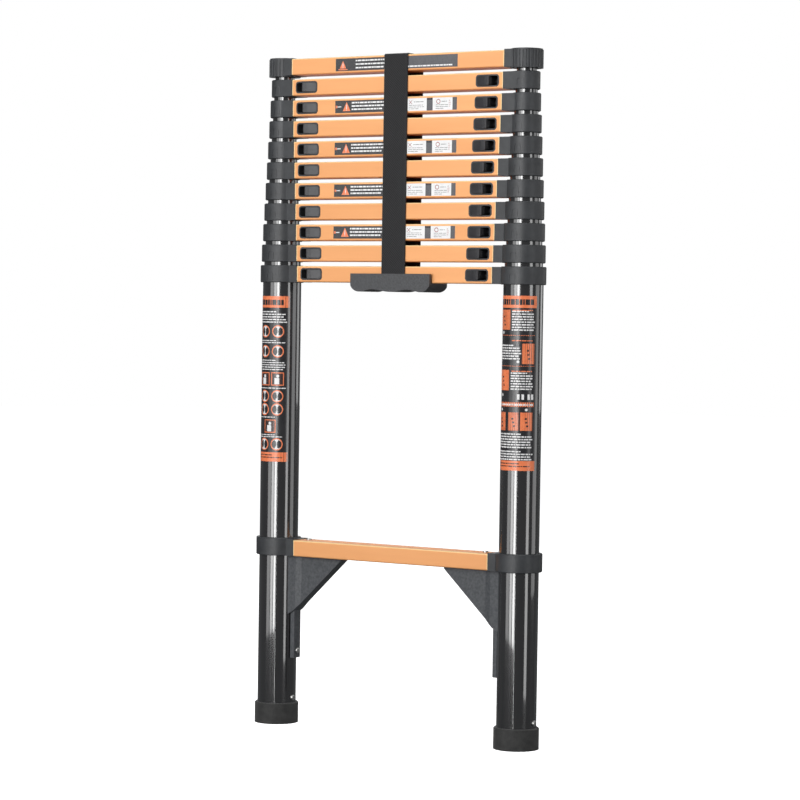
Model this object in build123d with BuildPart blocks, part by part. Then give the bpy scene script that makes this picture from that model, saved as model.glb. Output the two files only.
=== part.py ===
"""Telescoping ladder with twelve box rungs, stored closed and held by a webbing strap.

Frame: +Z up, -Y is the front (the side with the lock sliders), X runs along the rungs.
The origin lies on the floor, midway between the two rubber shoes. Millimetres.
"""

import os

from build123d import *

# ---- stiles -----------------------------------------------------------------
STILE_X = 196.5            # distance of each stile's axis from the middle
TUBE_R = 27.0              # outer radius of the widest tube
TUBE_STEP = 1.35           # each tube is this much smaller in radius than the one around it
TUBE_WALL = 1.05
TUBE_COUNT = 11
TUBE_REACH = 360.0         # how far a sliding tube reaches below its own rung
TUBE_FOOT_Z = 8.0          # lower end of the widest tube, inside its shoe
BUSH_HEIGHT = 20.0         # plug in the lower end of each sliding tube
BUSH_FLANGE = 2.0
BUSH_VENT_R = 4.0          # hole that lets the air out when the ladder closes
FIT = 0.05                 # gap between two pieces that are fitted together

# ---- rungs ------------------------------------------------------------------
RUNG_DEPTH = 36.0
RUNG_HEIGHT = 22.4
RUNG_WALL = 1.5
RUNG_CORNER_R = 1.8
STACK_Z = 618.7            # underside of the lowest stacked rung
STACK_PITCH = 28.71
STACK_COUNT = 11
BOTTOM_RUNG_Z = 236.6
RUNG_SETBACK = 11.0        # from the tube's surface to the end of its rung
TRAVEL = 288.0             # slide of each section
TREAD_GROOVES = 5
TREAD_PITCH = 5.6
TREAD_WIDTH = 2.2
TREAD_DEPTH = 0.6

# ---- collars and lock housings ----------------------------------------------
COLLAR_HEIGHT = 24.0
COLLAR_WALL = 3.4
COLLAR_LIP = 1.6
COLLAR_EDGE = 1.0
PLUG_GAP = 0.15            # between the plug and the inside of the rung
PLUG_LENGTH = 46.0
PLUG_CORNER_R = 1.2
PLUG_DEPTH = RUNG_DEPTH - 2 * RUNG_WALL - 2 * PLUG_GAP
PLUG_HEIGHT = RUNG_HEIGHT - 2 * RUNG_WALL - 2 * PLUG_GAP
BEZEL_START = 6.0          # from the rung's end to the bezel
BEZEL_LENGTH = 36.0
BEZEL_HEIGHT = 16.4
BEZEL_CORNER_R = 4.4
BEZEL_PROUD = 0.4
BEZEL_RIM = 1.8
ARCH_WIDTH = 10.0          # raised arch on the front of each collar
ARCH_HEIGHT = 11.5
ARCH_LINE = 1.4
ARCH_PROUD = 0.5
ARCH_DROP = 4.0            # the arch's foot above the collar's lower edge

# ---- locks ------------------------------------------------------------------
LOCK_STROKE = 8.0
LOCK_PIN_R = 4.0
LOCK_HOLE_R = 4.35
LOCK_TAIL_R = 2.0
LOCK_REACH = 2.55          # how far inside the outer tube's surface a pin that is out ends
SLIDER_LENGTH = 21.0
SLIDER_GAP = 0.2
SLIDER_RISE = 4.7          # the slider's outer end stands this far out of the rung
CAVITY_BACK = 6.0          # the slider's chamber reaches this far behind the pin's axis
SPRING_SPACE = 6.4
SPRING_R = 3.2
SPRING_WIRE_R = 0.55
SPRING_TURNS = 5

# ---- bottom rung, gussets, shoes, caps --------------------------------------
CLAMP_WALL = 4.4
CLAMP_HEIGHT = 25.0
GUSSET_APEX = 112.0        # from the stile's axis to the gusset's tip under the rung
GUSSET_FLANGE_IN = 27.2
GUSSET_FLANGE_OUT = 34.2
GUSSET_FLANGE_HALF = 8.0
GUSSET_FLANGE_Z = 93.0
GUSSET_KNEE_Z = 160.0
SHOE_R = 30.6
SHOE_HEIGHT = 29.0
SHOE_SPIGOT_TOP = 48.0
SHOE_FLAT = 14.0           # the sole is flat from the front to here, then curves up
CAP_R = 22.0
CAP_TOP = 930.0
CAP_Z = 904.4
CAP_FLUTES = 30

# ---- handle and strap -------------------------------------------------------
HANDLE_HALF = 64.5
HANDLE_FRONT = -25.5
HANDLE_BACK = 21.5
HANDLE_TOP = 631.1
HANDLE_LOW = 606.4
STRAP_WIDTH = 38.0
STRAP_THICK = 1.7
STRAP_X = 2.0
STRAP_GAP = 0.4
STRAP_FOOT_Z = 614.0
SCREW_R = 2.1
SCREW_HEAD_R = 3.8
SCREW_HEAD = 2.2
FOOT_SCREW_Z = 36.0
GUSSET_SCREW_Z = 103.0
RUNG_SCREW_IN = 14.0       # from the bottom rung's end to the screw in its tread
HANDLE_SCREW_X = 40.0
HANDLE_SCREW_SINK = 5.5


def tube_radius(j):
    """Outer radius of tube j, counted inwards from the widest, 0."""
    return TUBE_R - TUBE_STEP * j


def rung_z(j):
    """Underside of stacked rung j, counted upwards from the lowest, 0."""
    return STACK_Z + STACK_PITCH * j


def pin_z(j):
    """Height of the lock pins in stacked rung j."""
    return rung_z(j) + RUNG_HEIGHT / 2


def rung_end(j):
    """X of the right-hand end of stacked rung j."""
    return STILE_X - tube_radius(j) - RUNG_SETBACK


def save(part, name):
    part.label = name
    export_step(part, f"parts/{name}.step")


def stile_tubes(j):
    """The two tubes of one section, with the bushes in their lower ends and the lock holes."""
    outer = tube_radius(j)
    inner = outer - TUBE_WALL
    top = rung_z(j) - (COLLAR_HEIGHT - RUNG_HEIGHT) / 2 + COLLAR_HEIGHT - COLLAR_LIP - FIT
    low = TUBE_FOOT_Z if j == 0 else rung_z(j) - TUBE_REACH
    if j == TUBE_COUNT - 1:
        top = CAP_TOP - 6.0
    hole_heights = [] if j == TUBE_COUNT - 1 else [pin_z(j)]
    if j > 0:
        hole_heights += [pin_z(j - 1), pin_z(j - 1) - TRAVEL]
    tube_low = low if j == 0 else low + BUSH_FLANGE + FIT
    with BuildPart() as tubes:
        with BuildSketch(Plane.XY.offset(tube_low)):
            with Locations((-STILE_X, 0), (STILE_X, 0)):
                Circle(outer)
                Circle(inner, mode=Mode.SUBTRACT)
        extrude(amount=top - tube_low)
        with BuildSketch(Plane.YZ):
            with Locations([(0, z) for z in hole_heights] or [(0, top + 50)]):
                Circle(LOCK_HOLE_R)
        extrude(amount=STILE_X, both=True, mode=Mode.SUBTRACT)
        if j == 0:
            with BuildSketch(Plane.YZ):
                with Locations((0, FOOT_SCREW_Z)):
                    Circle(SCREW_R + FIT)
            extrude(amount=STILE_X + TUBE_R + 1, both=True, mode=Mode.SUBTRACT)
        else:
            with BuildSketch(Plane.XY.offset(low)):
                with Locations((-STILE_X, 0), (STILE_X, 0)):
                    Circle(outer)
                    Circle(BUSH_VENT_R, mode=Mode.SUBTRACT)
            extrude(amount=BUSH_FLANGE)
            with BuildSketch(Plane.XY.offset(low + BUSH_FLANGE)):
                with Locations((-STILE_X, 0), (STILE_X, 0)):
                    Circle(inner - FIT)
                    Circle(BUSH_VENT_R, mode=Mode.SUBTRACT)
            extrude(amount=BUSH_HEIGHT - BUSH_FLANGE)
    return tubes.part


def rung(underside, half_length, windows):
    """A box-section rung with a grooved tread; windows cuts the two openings for the locks."""
    middle = underside + RUNG_HEIGHT / 2
    with BuildPart() as box:
        with BuildSketch(Plane.YZ.offset(-half_length)):
            with Locations((0, middle)):
                RectangleRounded(RUNG_DEPTH, RUNG_HEIGHT, RUNG_CORNER_R)
                RectangleRounded(
                    RUNG_DEPTH - 2 * RUNG_WALL, RUNG_HEIGHT - 2 * RUNG_WALL, 0.8, mode=Mode.SUBTRACT
                )
            with Locations((0, underside + RUNG_HEIGHT)):
                with GridLocations(TREAD_PITCH, 0, TREAD_GROOVES, 1):
                    Rectangle(TREAD_WIDTH, 2 * TREAD_DEPTH, mode=Mode.SUBTRACT)
        extrude(amount=2 * half_length)
        if windows:
            centre = half_length - BEZEL_START - BEZEL_LENGTH / 2
            with BuildSketch(Plane.XZ.offset(RUNG_DEPTH / 2 - 3 * RUNG_WALL)):
                with Locations((-centre, middle), (centre, middle)):
                    RectangleRounded(
                        BEZEL_LENGTH + 4 * FIT, BEZEL_HEIGHT + 4 * FIT, BEZEL_CORNER_R + 2 * FIT
                    )
            extrude(amount=4 * RUNG_WALL, mode=Mode.SUBTRACT)
    return box.part


def arch_mark(ring_r, low):
    """The raised arch on the front of the right-hand collar, following the collar's curve."""
    crown_z = low + ARCH_DROP + ARCH_HEIGHT - ARCH_WIDTH / 2
    leg_height = ARCH_HEIGHT - ARCH_WIDTH / 2
    leg_x = (ARCH_WIDTH - ARCH_LINE) / 2
    with BuildPart() as mark:
        with BuildSketch(Plane.XZ):
            with Locations((STILE_X, crown_z)):
                Circle(ARCH_WIDTH / 2)
                Circle(ARCH_WIDTH / 2 - ARCH_LINE, mode=Mode.SUBTRACT)
                Rectangle(2 * ARCH_WIDTH, ARCH_WIDTH, align=(Align.CENTER, Align.MAX), mode=Mode.SUBTRACT)
            with Locations((STILE_X - leg_x, crown_z), (STILE_X + leg_x, crown_z)):
                Rectangle(ARCH_LINE, leg_height, align=(Align.CENTER, Align.MAX))
        extrude(amount=ring_r + 2)
        with BuildSketch(Plane.XY.offset(low)):
            with Locations((STILE_X, 0)):
                Circle(ring_r + ARCH_PROUD)
                Circle(ring_r - ARCH_PROUD, mode=Mode.SUBTRACT)
        extrude(amount=COLLAR_HEIGHT, mode=Mode.INTERSECT)
    return mark.part


def rung_collars(j):
    """Moulded collars of stacked rung j: ring round the tube, neck, plug and lock bezel."""
    radius = tube_radius(j)
    ring_r = radius + COLLAR_WALL
    low = rung_z(j) - (COLLAR_HEIGHT - RUNG_HEIGHT) / 2
    end = rung_end(j)
    middle = pin_z(j)
    cavity_in = end - BEZEL_START - BEZEL_LENGTH + BEZEL_RIM
    cavity_out = end - BEZEL_START - BEZEL_RIM
    mark = arch_mark(ring_r, low)
    with BuildPart() as collar:
        with BuildSketch(Plane.XY.offset(low)):
            with Locations((STILE_X, 0)):
                Circle(ring_r)
        extrude(amount=COLLAR_HEIGHT)
        chamfer(collar.edges().filter_by(GeomType.CIRCLE), COLLAR_EDGE)
        add(mark)
        with BuildSketch(Plane.XY.offset(rung_z(j) - 0.2)):
            with Locations(((end + STILE_X) / 2, 0)):
                Rectangle(STILE_X - end, RUNG_DEPTH + 0.4)
        extrude(amount=RUNG_HEIGHT + 0.4)
        with BuildSketch(Plane.YZ.offset(end - PLUG_LENGTH)):
            with Locations((0, middle)):
                RectangleRounded(PLUG_DEPTH, PLUG_HEIGHT, PLUG_CORNER_R)
        extrude(amount=PLUG_LENGTH)
        with BuildSketch(Plane.XZ.offset(RUNG_DEPTH / 2 - 3 * RUNG_WALL)):
            with Locations((end - BEZEL_START - BEZEL_LENGTH / 2, middle)):
                RectangleRounded(BEZEL_LENGTH, BEZEL_HEIGHT, BEZEL_CORNER_R)
        extrude(amount=3 * RUNG_WALL + BEZEL_PROUD)
        with BuildSketch(Plane.XZ.offset(-CAVITY_BACK)):
            with Locations(((cavity_in + cavity_out) / 2, middle)):
                RectangleRounded(
                    cavity_out - cavity_in, BEZEL_HEIGHT - 2 * BEZEL_RIM, BEZEL_CORNER_R - BEZEL_RIM
                )
        extrude(amount=CAVITY_BACK + RUNG_DEPTH, mode=Mode.SUBTRACT)
        with BuildSketch(Plane.XY.offset(low - 1)):
            with Locations((STILE_X, 0)):
                Circle(radius - TUBE_WALL)
        extrude(amount=COLLAR_HEIGHT + 2, mode=Mode.SUBTRACT)
        with BuildSketch(Plane.XY.offset(low - 1)):
            with Locations((STILE_X, 0)):
                Circle(radius + FIT)
        extrude(amount=COLLAR_HEIGHT + 1 - COLLAR_LIP, mode=Mode.SUBTRACT)
        with BuildSketch(Plane.YZ.offset(cavity_out - 1)):
            with Locations((0, middle)):
                Circle(LOCK_HOLE_R)
        extrude(amount=STILE_X - cavity_out, mode=Mode.SUBTRACT)
        mirror(about=Plane.YZ)
    return collar.part


def lock(j, side):
    """One lock of stacked rung j: thumb slider, stepped pin and the closed-up spring behind it."""
    end = rung_end(j)
    middle = pin_z(j)
    inner_end = end - BEZEL_START - BEZEL_LENGTH + BEZEL_RIM + SLIDER_GAP
    outer_end = inner_end + SLIDER_LENGTH
    tip = STILE_X - tube_radius(j) + LOCK_REACH - LOCK_STROKE
    front = RUNG_DEPTH / 2
    spring_out = inner_end + SPRING_SPACE
    slider_height = BEZEL_HEIGHT - 2 * BEZEL_RIM - 0.6
    with BuildPart() as body:
        with BuildSketch(Plane.XZ.offset(0.5 - CAVITY_BACK)):
            with Locations(((inner_end + outer_end) / 2, middle)):
                RectangleRounded(SLIDER_LENGTH, slider_height, BEZEL_CORNER_R - BEZEL_RIM)
        extrude(amount=CAVITY_BACK - 0.5 + front + SLIDER_RISE)
        with BuildSketch(Plane.XY.offset(middle)):
            with BuildLine():
                Polyline(
                    (inner_end - 1, -front - 0.2),
                    (outer_end - 2.2, -front - SLIDER_RISE),
                    (outer_end - 0.8, -front - SLIDER_RISE),
                    (outer_end + 1, -front - SLIDER_RISE + 1.6),
                    (outer_end + 1, -front - SLIDER_RISE - 2),
                    (inner_end - 1, -front - SLIDER_RISE - 2),
                    close=True,
                )
            make_face()
            with Locations((outer_end, -front + 0.4), (outer_end, -front - 1.4), (outer_end, -front + 2.2)):
                Circle(0.45)
            with Locations([(outer_end - 3.4 - 1.7 * k, -front - SLIDER_RISE + 0.4 * k) for k in range(3)]):
                Circle(0.4)
        extrude(amount=BEZEL_HEIGHT, both=True, mode=Mode.SUBTRACT)
        with BuildSketch(Plane.XY.offset(middle)):
            with Locations(((inner_end - 1 + spring_out) / 2, 0)):
                Rectangle(spring_out - inner_end + 1, 28)
        extrude(amount=BEZEL_HEIGHT, both=True, mode=Mode.SUBTRACT)
        with BuildSketch(Plane.YZ.offset(inner_end)):
            with Locations((0, middle)):
                Circle(LOCK_TAIL_R + FIT)
        extrude(amount=SLIDER_LENGTH + 1, mode=Mode.SUBTRACT)
        with BuildSketch(Plane.YZ.offset(inner_end + 0.3)):
            with Locations((0, middle)):
                Circle(LOCK_TAIL_R)
        extrude(amount=outer_end + 1 - inner_end)
        with BuildSketch(Plane.YZ.offset(outer_end + FIT)):
            with Locations((0, middle)):
                Circle(LOCK_PIN_R)
        extrude(amount=tip - outer_end - FIT)
        with BuildSketch(Plane.XZ):
            with Locations(
                [
                    (spring_out - FIT - SPRING_WIRE_R * (1 + 1.9 * k), middle + SPRING_R)
                    for k in range(SPRING_TURNS)
                ]
            ):
                Circle(SPRING_WIRE_R)
        revolve(axis=Axis((0, 0, middle), (1, 0, 0)))
        if side < 0:
            mirror(about=Plane.YZ, mode=Mode.REPLACE)
    return body.part


def rung_clamps():
    """Clamp rings that hold the bottom rung on the widest tubes, with plugs inside the rung."""
    ring_r = TUBE_R + CLAMP_WALL
    end = rung_end(0)
    middle = BOTTOM_RUNG_Z + RUNG_HEIGHT / 2
    with BuildPart() as clamp:
        with BuildSketch(Plane.XY.offset(BOTTOM_RUNG_Z)):
            with Locations((STILE_X, 0)):
                Circle(ring_r)
        extrude(amount=CLAMP_HEIGHT)
        chamfer(clamp.edges().filter_by(GeomType.CIRCLE), COLLAR_EDGE)
        with BuildSketch(Plane.XY.offset(BOTTOM_RUNG_Z)):
            with Locations(((end + STILE_X) / 2, 0)):
                Rectangle(STILE_X - end, RUNG_DEPTH + 0.4)
        extrude(amount=RUNG_HEIGHT + 1.2)
        with BuildSketch(Plane.YZ.offset(end - PLUG_LENGTH)):
            with Locations((0, middle)):
                RectangleRounded(PLUG_DEPTH, PLUG_HEIGHT, PLUG_CORNER_R)
                Rectangle(
                    RUNG_DEPTH - 6 * RUNG_WALL, RUNG_HEIGHT - 6 * RUNG_WALL, mode=Mode.SUBTRACT
                )
        extrude(amount=PLUG_LENGTH)
        with BuildSketch(Plane.XY.offset(BOTTOM_RUNG_Z - 1)):
            with Locations((STILE_X, 0)):
                Circle(TUBE_R + FIT)
        extrude(amount=CLAMP_HEIGHT + 2, mode=Mode.SUBTRACT)
        with BuildSketch(Plane.XY.offset(BOTTOM_RUNG_Z + RUNG_HEIGHT - 6 * RUNG_WALL)):
            with Locations((end - RUNG_SCREW_IN, 0)):
                Circle(SCREW_R + FIT)
        extrude(amount=8 * RUNG_WALL, mode=Mode.SUBTRACT)
        mirror(about=Plane.YZ)
    return clamp.part


def drilled_rung(plain, face_z, hole_x):
    """A rung with a screw hole near each end of the wall at height face_z."""
    with BuildPart() as drilled:
        add(plain)
        with BuildSketch(Plane.XY.offset(face_z - 1.5 * RUNG_WALL)):
            with Locations((-hole_x, 0), (hole_x, 0)):
                Circle(SCREW_R + FIT)
        extrude(amount=3 * RUNG_WALL, mode=Mode.SUBTRACT)
    return drilled.part


def top_caps():
    """Fluted caps on the thinnest tubes, with a neck and a plug for the top rung."""
    radius = tube_radius(TUBE_COUNT - 1)
    end = rung_end(TUBE_COUNT - 1)
    underside = rung_z(STACK_COUNT - 1)
    middle = underside + RUNG_HEIGHT / 2
    with BuildPart() as cap:
        with BuildSketch(Plane.XY.offset(CAP_Z)):
            with Locations((STILE_X, 0)):
                Circle(CAP_R)
                with PolarLocations(CAP_R + 0.35, CAP_FLUTES):
                    Circle(1.15, mode=Mode.SUBTRACT)
        extrude(amount=CAP_TOP - CAP_Z)
        with BuildSketch(Plane.XY.offset(CAP_TOP - 1.6)):
            with Locations((STILE_X, 0)):
                Circle(CAP_R + 2)
                Circle(CAP_R - 0.9, mode=Mode.SUBTRACT)
        extrude(amount=1.7, taper=0, mode=Mode.SUBTRACT)
        with BuildSketch(Plane.XY.offset(underside - 0.2)):
            with Locations(((end + STILE_X) / 2, 0)):
                Rectangle(STILE_X - end, RUNG_DEPTH + 0.4)
        extrude(amount=CAP_TOP - 0.6 - underside + 0.2)
        with BuildSketch(Plane.YZ.offset(end - PLUG_LENGTH / 2)):
            with Locations((0, middle)):
                RectangleRounded(PLUG_DEPTH, PLUG_HEIGHT, PLUG_CORNER_R)
        extrude(amount=PLUG_LENGTH / 2)
        with BuildSketch(Plane.XY.offset(CAP_Z - 1)):
            with Locations((STILE_X, 0)):
                Circle(radius + FIT)
        extrude(amount=CAP_TOP - 6.0 + FIT - CAP_Z + 1, mode=Mode.SUBTRACT)
        mirror(about=Plane.YZ)
    return cap.part


def gussets():
    """Triangular brackets under the bottom rung, each with a saddle and a strip down the tube."""
    top = BOTTOM_RUNG_Z - 2 * FIT
    saddle_half = 11.0
    web_half = 9.0
    saddle_edge = STILE_X - 37.5
    web_edge = STILE_X - 46.0
    apex = STILE_X - GUSSET_APEX
    knee = STILE_X - GUSSET_FLANGE_OUT
    with BuildPart() as gusset:
        with BuildSketch(Plane.XY.offset(GUSSET_KNEE_Z - 12)):
            with BuildLine():
                Polyline(
                    (STILE_X - 20, saddle_half),
                    (saddle_edge, saddle_half),
                    (web_edge, web_half),
                    (apex - 1, web_half),
                    (apex - 1, -web_half),
                    (web_edge, -web_half),
                    (saddle_edge, -saddle_half),
                    (STILE_X - 20, -saddle_half),
                    close=True,
                )
            make_face()
        extrude(amount=top - GUSSET_KNEE_Z + 12)
        with BuildSketch(Plane.XZ):
            with BuildLine():
                Polyline(
                    (apex, top),
                    (apex, top - 2.5),
                    (knee, GUSSET_KNEE_Z),
                    (STILE_X - 18, GUSSET_KNEE_Z - 10),
                    (STILE_X - 18, top),
                    close=True,
                )
            make_face()
        extrude(amount=2 * saddle_half, both=True, mode=Mode.INTERSECT)
        with BuildSketch(Plane.XY.offset(GUSSET_FLANGE_Z)):
            with Locations((STILE_X - (GUSSET_FLANGE_IN + GUSSET_FLANGE_OUT) / 2, 0)):
                RectangleRounded(
                    GUSSET_FLANGE_OUT - GUSSET_FLANGE_IN, 2 * GUSSET_FLANGE_HALF, 1.2
                )
        extrude(amount=top - GUSSET_FLANGE_Z)
        with BuildSketch(Plane.XY.offset(GUSSET_FLANGE_Z - 1)):
            with Locations((STILE_X, 0)):
                Circle(TUBE_R + FIT)
        extrude(amount=BOTTOM_RUNG_Z, mode=Mode.SUBTRACT)
        with BuildSketch(Plane.YZ.offset(STILE_X - GUSSET_FLANGE_OUT - 1)):
            with Locations((0, GUSSET_SCREW_Z)):
                Circle(SCREW_R + FIT)
        extrude(amount=GUSSET_FLANGE_OUT, mode=Mode.SUBTRACT)
        mirror(about=Plane.YZ)
    return gusset.part


def rubber_feet():
    """Rubber shoes: a cup and a spigot on the tube, and a grooved sole that curves up behind."""
    sole_rise = 12.0
    with BuildPart() as shoe:
        with BuildSketch(Plane.XY):
            with Locations((STILE_X, 0)):
                Circle(SHOE_R)
        extrude(amount=SHOE_HEIGHT)
        chamfer(shoe.edges().group_by(Axis.Z)[-1], 1.2)
        with BuildSketch(Plane.YZ.offset(STILE_X - SHOE_R - 1)):
            with BuildLine():
                Line((SHOE_FLAT, 0), (SHOE_R + 2, 0))
                Line((SHOE_R + 2, 0), (SHOE_R + 2, sole_rise + 4))
                Line((SHOE_R + 2, sole_rise + 4), (SHOE_R + 0.5, sole_rise))
                ThreePointArc((SHOE_R + 0.5, sole_rise), (SHOE_FLAT + 11, sole_rise * 0.36), (SHOE_FLAT, 0))
            make_face()
        extrude(amount=2 * SHOE_R + 2, mode=Mode.SUBTRACT)
        with BuildSketch(Plane.YZ.offset(STILE_X - SHOE_R - 1)):
            with Locations([(-22.0 + 6.0 * k, 0) for k in range(7)]):
                Rectangle(1.8, 2.6)
            with Locations((SHOE_FLAT + 7, 1.4), (SHOE_FLAT + 12, 4.2), (SHOE_FLAT + 15.6, 8.4)):
                Circle(1.3)
        extrude(amount=2 * SHOE_R + 2, mode=Mode.SUBTRACT)
        with BuildSketch(Plane.XY.offset(TUBE_FOOT_Z)):
            with Locations((STILE_X, 0)):
                Circle(TUBE_R + FIT)
                Circle(TUBE_R - TUBE_WALL - FIT, mode=Mode.SUBTRACT)
        extrude(amount=SHOE_HEIGHT, mode=Mode.SUBTRACT)
        with BuildSketch(Plane.XY.offset(TUBE_FOOT_Z)):
            with Locations((STILE_X, 0)):
                Circle(TUBE_R - TUBE_WALL - FIT)
        extrude(amount=SHOE_SPIGOT_TOP - TUBE_FOOT_Z)
        with BuildSketch(Plane.XY.offset(TUBE_FOOT_Z)):
            with Locations((STILE_X, 0)):
                Circle(TUBE_R - 8)
        extrude(amount=SHOE_SPIGOT_TOP, mode=Mode.SUBTRACT)
        with BuildSketch(Plane.YZ.offset(STILE_X - TUBE_R)):
            with Locations((0, FOOT_SCREW_Z)):
                Circle(SCREW_R + FIT)
        extrude(amount=2 * TUBE_R, mode=Mode.SUBTRACT)
        mirror(about=Plane.YZ)
    return shoe.part


def pan_screw(seat, length):
    """A pan-head screw whose head stands on a plane, with its shank going in behind it."""
    with BuildPart() as screw:
        with BuildSketch(seat.offset(FIT)):
            Circle(SCREW_HEAD_R)
        extrude(amount=SCREW_HEAD)
        head_edge = screw.edges().sort_by(lambda e: -(e.center() - seat.origin).dot(seat.z_dir))[0]
        fillet(head_edge, 1.1)
        with BuildSketch(seat.offset(FIT + SCREW_HEAD)):
            Rectangle(3.4, 0.9)
            Rectangle(0.9, 3.4)
        extrude(amount=-1.1, mode=Mode.SUBTRACT)
        with BuildSketch(seat.offset(FIT)):
            Circle(SCREW_R)
        extrude(amount=-length)
    return screw.part


def screws():
    """Shoe screws, gusset screws, bottom-rung screws and handle screws, as one group."""
    seats = []
    for side in (-1, 1):
        axis_x = side * STILE_X
        for outward in (-1, 1):
            foot = Plane((axis_x + outward * TUBE_R, 0, FOOT_SCREW_Z), x_dir=(0, 1, 0), z_dir=(outward, 0, 0))
            seats.append((foot, 7.0))
        gusset_face = axis_x - side * GUSSET_FLANGE_OUT
        seats.append(
            (Plane((gusset_face, 0, GUSSET_SCREW_Z), x_dir=(0, 1, 0), z_dir=(-side, 0, 0)), 6.0)
        )
        tread = Plane((side * (rung_end(0) - RUNG_SCREW_IN), 0, BOTTOM_RUNG_Z + RUNG_HEIGHT))
        seats.append((tread, 6.0))
        grip = Plane((side * HANDLE_SCREW_X, 0, HANDLE_LOW + HANDLE_SCREW_SINK), z_dir=(0, 0, -1))
        seats.append((grip, 10.0))
    return Compound(children=[pan_screw(seat, length) for seat, length in seats])


def carry_handle():
    """Moulded grip under the lowest stacked rung, with a channel that takes the strap's end."""
    slot_back = -RUNG_DEPTH / 2 - 0.1
    plate_back = HANDLE_FRONT + 4.8
    underside = STACK_Z - 2 * FIT
    with BuildPart() as grip:
        with BuildSketch(Plane.XZ.offset(-HANDLE_BACK)):
            with BuildLine():
                Line((-HANDLE_HALF, underside), (HANDLE_HALF, underside))
                Line((HANDLE_HALF, underside), (HANDLE_HALF, underside - 1.5))
                Spline(
                    (HANDLE_HALF, underside - 1.5),
                    (HANDLE_HALF - 3.5, HANDLE_LOW + 4.4),
                    (HANDLE_HALF - 12, HANDLE_LOW + 0.2),
                    (HANDLE_HALF - 31, HANDLE_LOW + 3.0),
                    (0, HANDLE_LOW),
                    (-HANDLE_HALF + 31, HANDLE_LOW + 3.0),
                    (-HANDLE_HALF + 12, HANDLE_LOW + 0.2),
                    (-HANDLE_HALF + 3.5, HANDLE_LOW + 4.4),
                    (-HANDLE_HALF, underside - 1.5),
                )
                Line((-HANDLE_HALF, underside - 1.5), (-HANDLE_HALF, underside))
            make_face()
        extrude(amount=HANDLE_BACK - HANDLE_FRONT)
        with BuildSketch(Plane.XZ.offset(-plate_back)):
            with Locations((0, (HANDLE_TOP + underside - 2) / 2)):
                Rectangle(2 * HANDLE_HALF, HANDLE_TOP - underside + 2)
        extrude(amount=plate_back - HANDLE_FRONT)
        with BuildSketch(Plane.XZ.offset(-HANDLE_BACK)):
            with Locations((0, (STACK_Z + 6 + underside - 2) / 2)):
                Rectangle(2 * HANDLE_HALF, STACK_Z + 6 - underside + 2)
        extrude(amount=HANDLE_BACK - RUNG_DEPTH / 2 - 0.1)
        fillet(grip.edges().filter_by(Axis.Z).group_by(Axis.Y)[-1], 2.5)
        fillet(grip.edges().filter_by(Axis.Z).group_by(Axis.Y)[0], 1.2)
        with BuildSketch(Plane.XY.offset(STRAP_FOOT_Z - 1)):
            with Locations((STRAP_X, (slot_back + plate_back) / 2)):
                Rectangle(STRAP_WIDTH + 3, slot_back - plate_back)
        extrude(amount=HANDLE_TOP, mode=Mode.SUBTRACT)
        with BuildSketch(Plane.XY.offset(STRAP_FOOT_Z - 1)):
            with Locations((STRAP_X, -slot_back + 1.4)):
                Rectangle(STRAP_WIDTH + 3, 2.6)
        extrude(amount=HANDLE_TOP, mode=Mode.SUBTRACT)
        with BuildSketch(Plane.XY.offset(HANDLE_LOW - 5)):
            with Locations((-HANDLE_SCREW_X, 0), (HANDLE_SCREW_X, 0)):
                Circle(SCREW_HEAD_R + 0.8)
        extrude(amount=HANDLE_SCREW_SINK + 5, mode=Mode.SUBTRACT)
        with BuildSketch(Plane.XY.offset(HANDLE_LOW)):
            with Locations((-HANDLE_SCREW_X, 0), (HANDLE_SCREW_X, 0)):
                Circle(SCREW_R + FIT)
        extrude(amount=HANDLE_TOP - HANDLE_LOW, mode=Mode.SUBTRACT)
    return grip.part


def carry_strap():
    """Webbing strap: up the front of the stack, over the top rung and down the back."""
    near = RUNG_DEPTH / 2 + STRAP_GAP
    far = near + STRAP_THICK
    top = rung_z(STACK_COUNT - 1) + RUNG_HEIGHT + FIT
    corner = 2.5
    with BuildPart() as strap:
        with BuildSketch(Plane.YZ.offset(STRAP_X - STRAP_WIDTH / 2)):
            with BuildLine():
                FilletPolyline(
                    (-far, STRAP_FOOT_Z), (-far, top + STRAP_THICK), (far, top + STRAP_THICK),
                    (far, STRAP_FOOT_Z), radius=corner,
                )
                Line((far, STRAP_FOOT_Z), (near, STRAP_FOOT_Z))
                FilletPolyline(
                    (near, STRAP_FOOT_Z), (near, top), (-near, top), (-near, STRAP_FOOT_Z),
                    radius=corner - STRAP_THICK,
                )
                Line((-near, STRAP_FOOT_Z), (-far, STRAP_FOOT_Z))
            make_face()
        extrude(amount=STRAP_WIDTH)
    return strap.part


def build_all():
    os.makedirs("parts", exist_ok=True)
    for j in range(TUBE_COUNT):
        save(stile_tubes(j), f"stile_tubes_{j + 1:02d}")
    bottom = rung(BOTTOM_RUNG_Z, rung_end(0), windows=False)
    save(drilled_rung(bottom, BOTTOM_RUNG_Z + RUNG_HEIGHT, rung_end(0) - RUNG_SCREW_IN), "rung_01")
    for j in range(STACK_COUNT):
        has_locks = j < STACK_COUNT - 1
        box = rung(rung_z(j), rung_end(j), windows=has_locks)
        if j == 0:
            box = drilled_rung(box, STACK_Z, HANDLE_SCREW_X)
        save(box, f"rung_{j + 2:02d}")
        if has_locks:
            save(rung_collars(j), f"rung_collars_{j + 2:02d}")
            save(lock(j, -1), f"lock_left_{j + 2:02d}")
            save(lock(j, 1), f"lock_right_{j + 2:02d}")
    save(rung_clamps(), "rung_clamps_01")
    save(top_caps(), "top_caps")
    save(gussets(), "gussets")
    save(rubber_feet(), "rubber_feet")
    save(screws(), "screws")
    save(carry_handle(), "carry_handle")
    save(carry_strap(), "carry_strap")


build_all()
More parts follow.
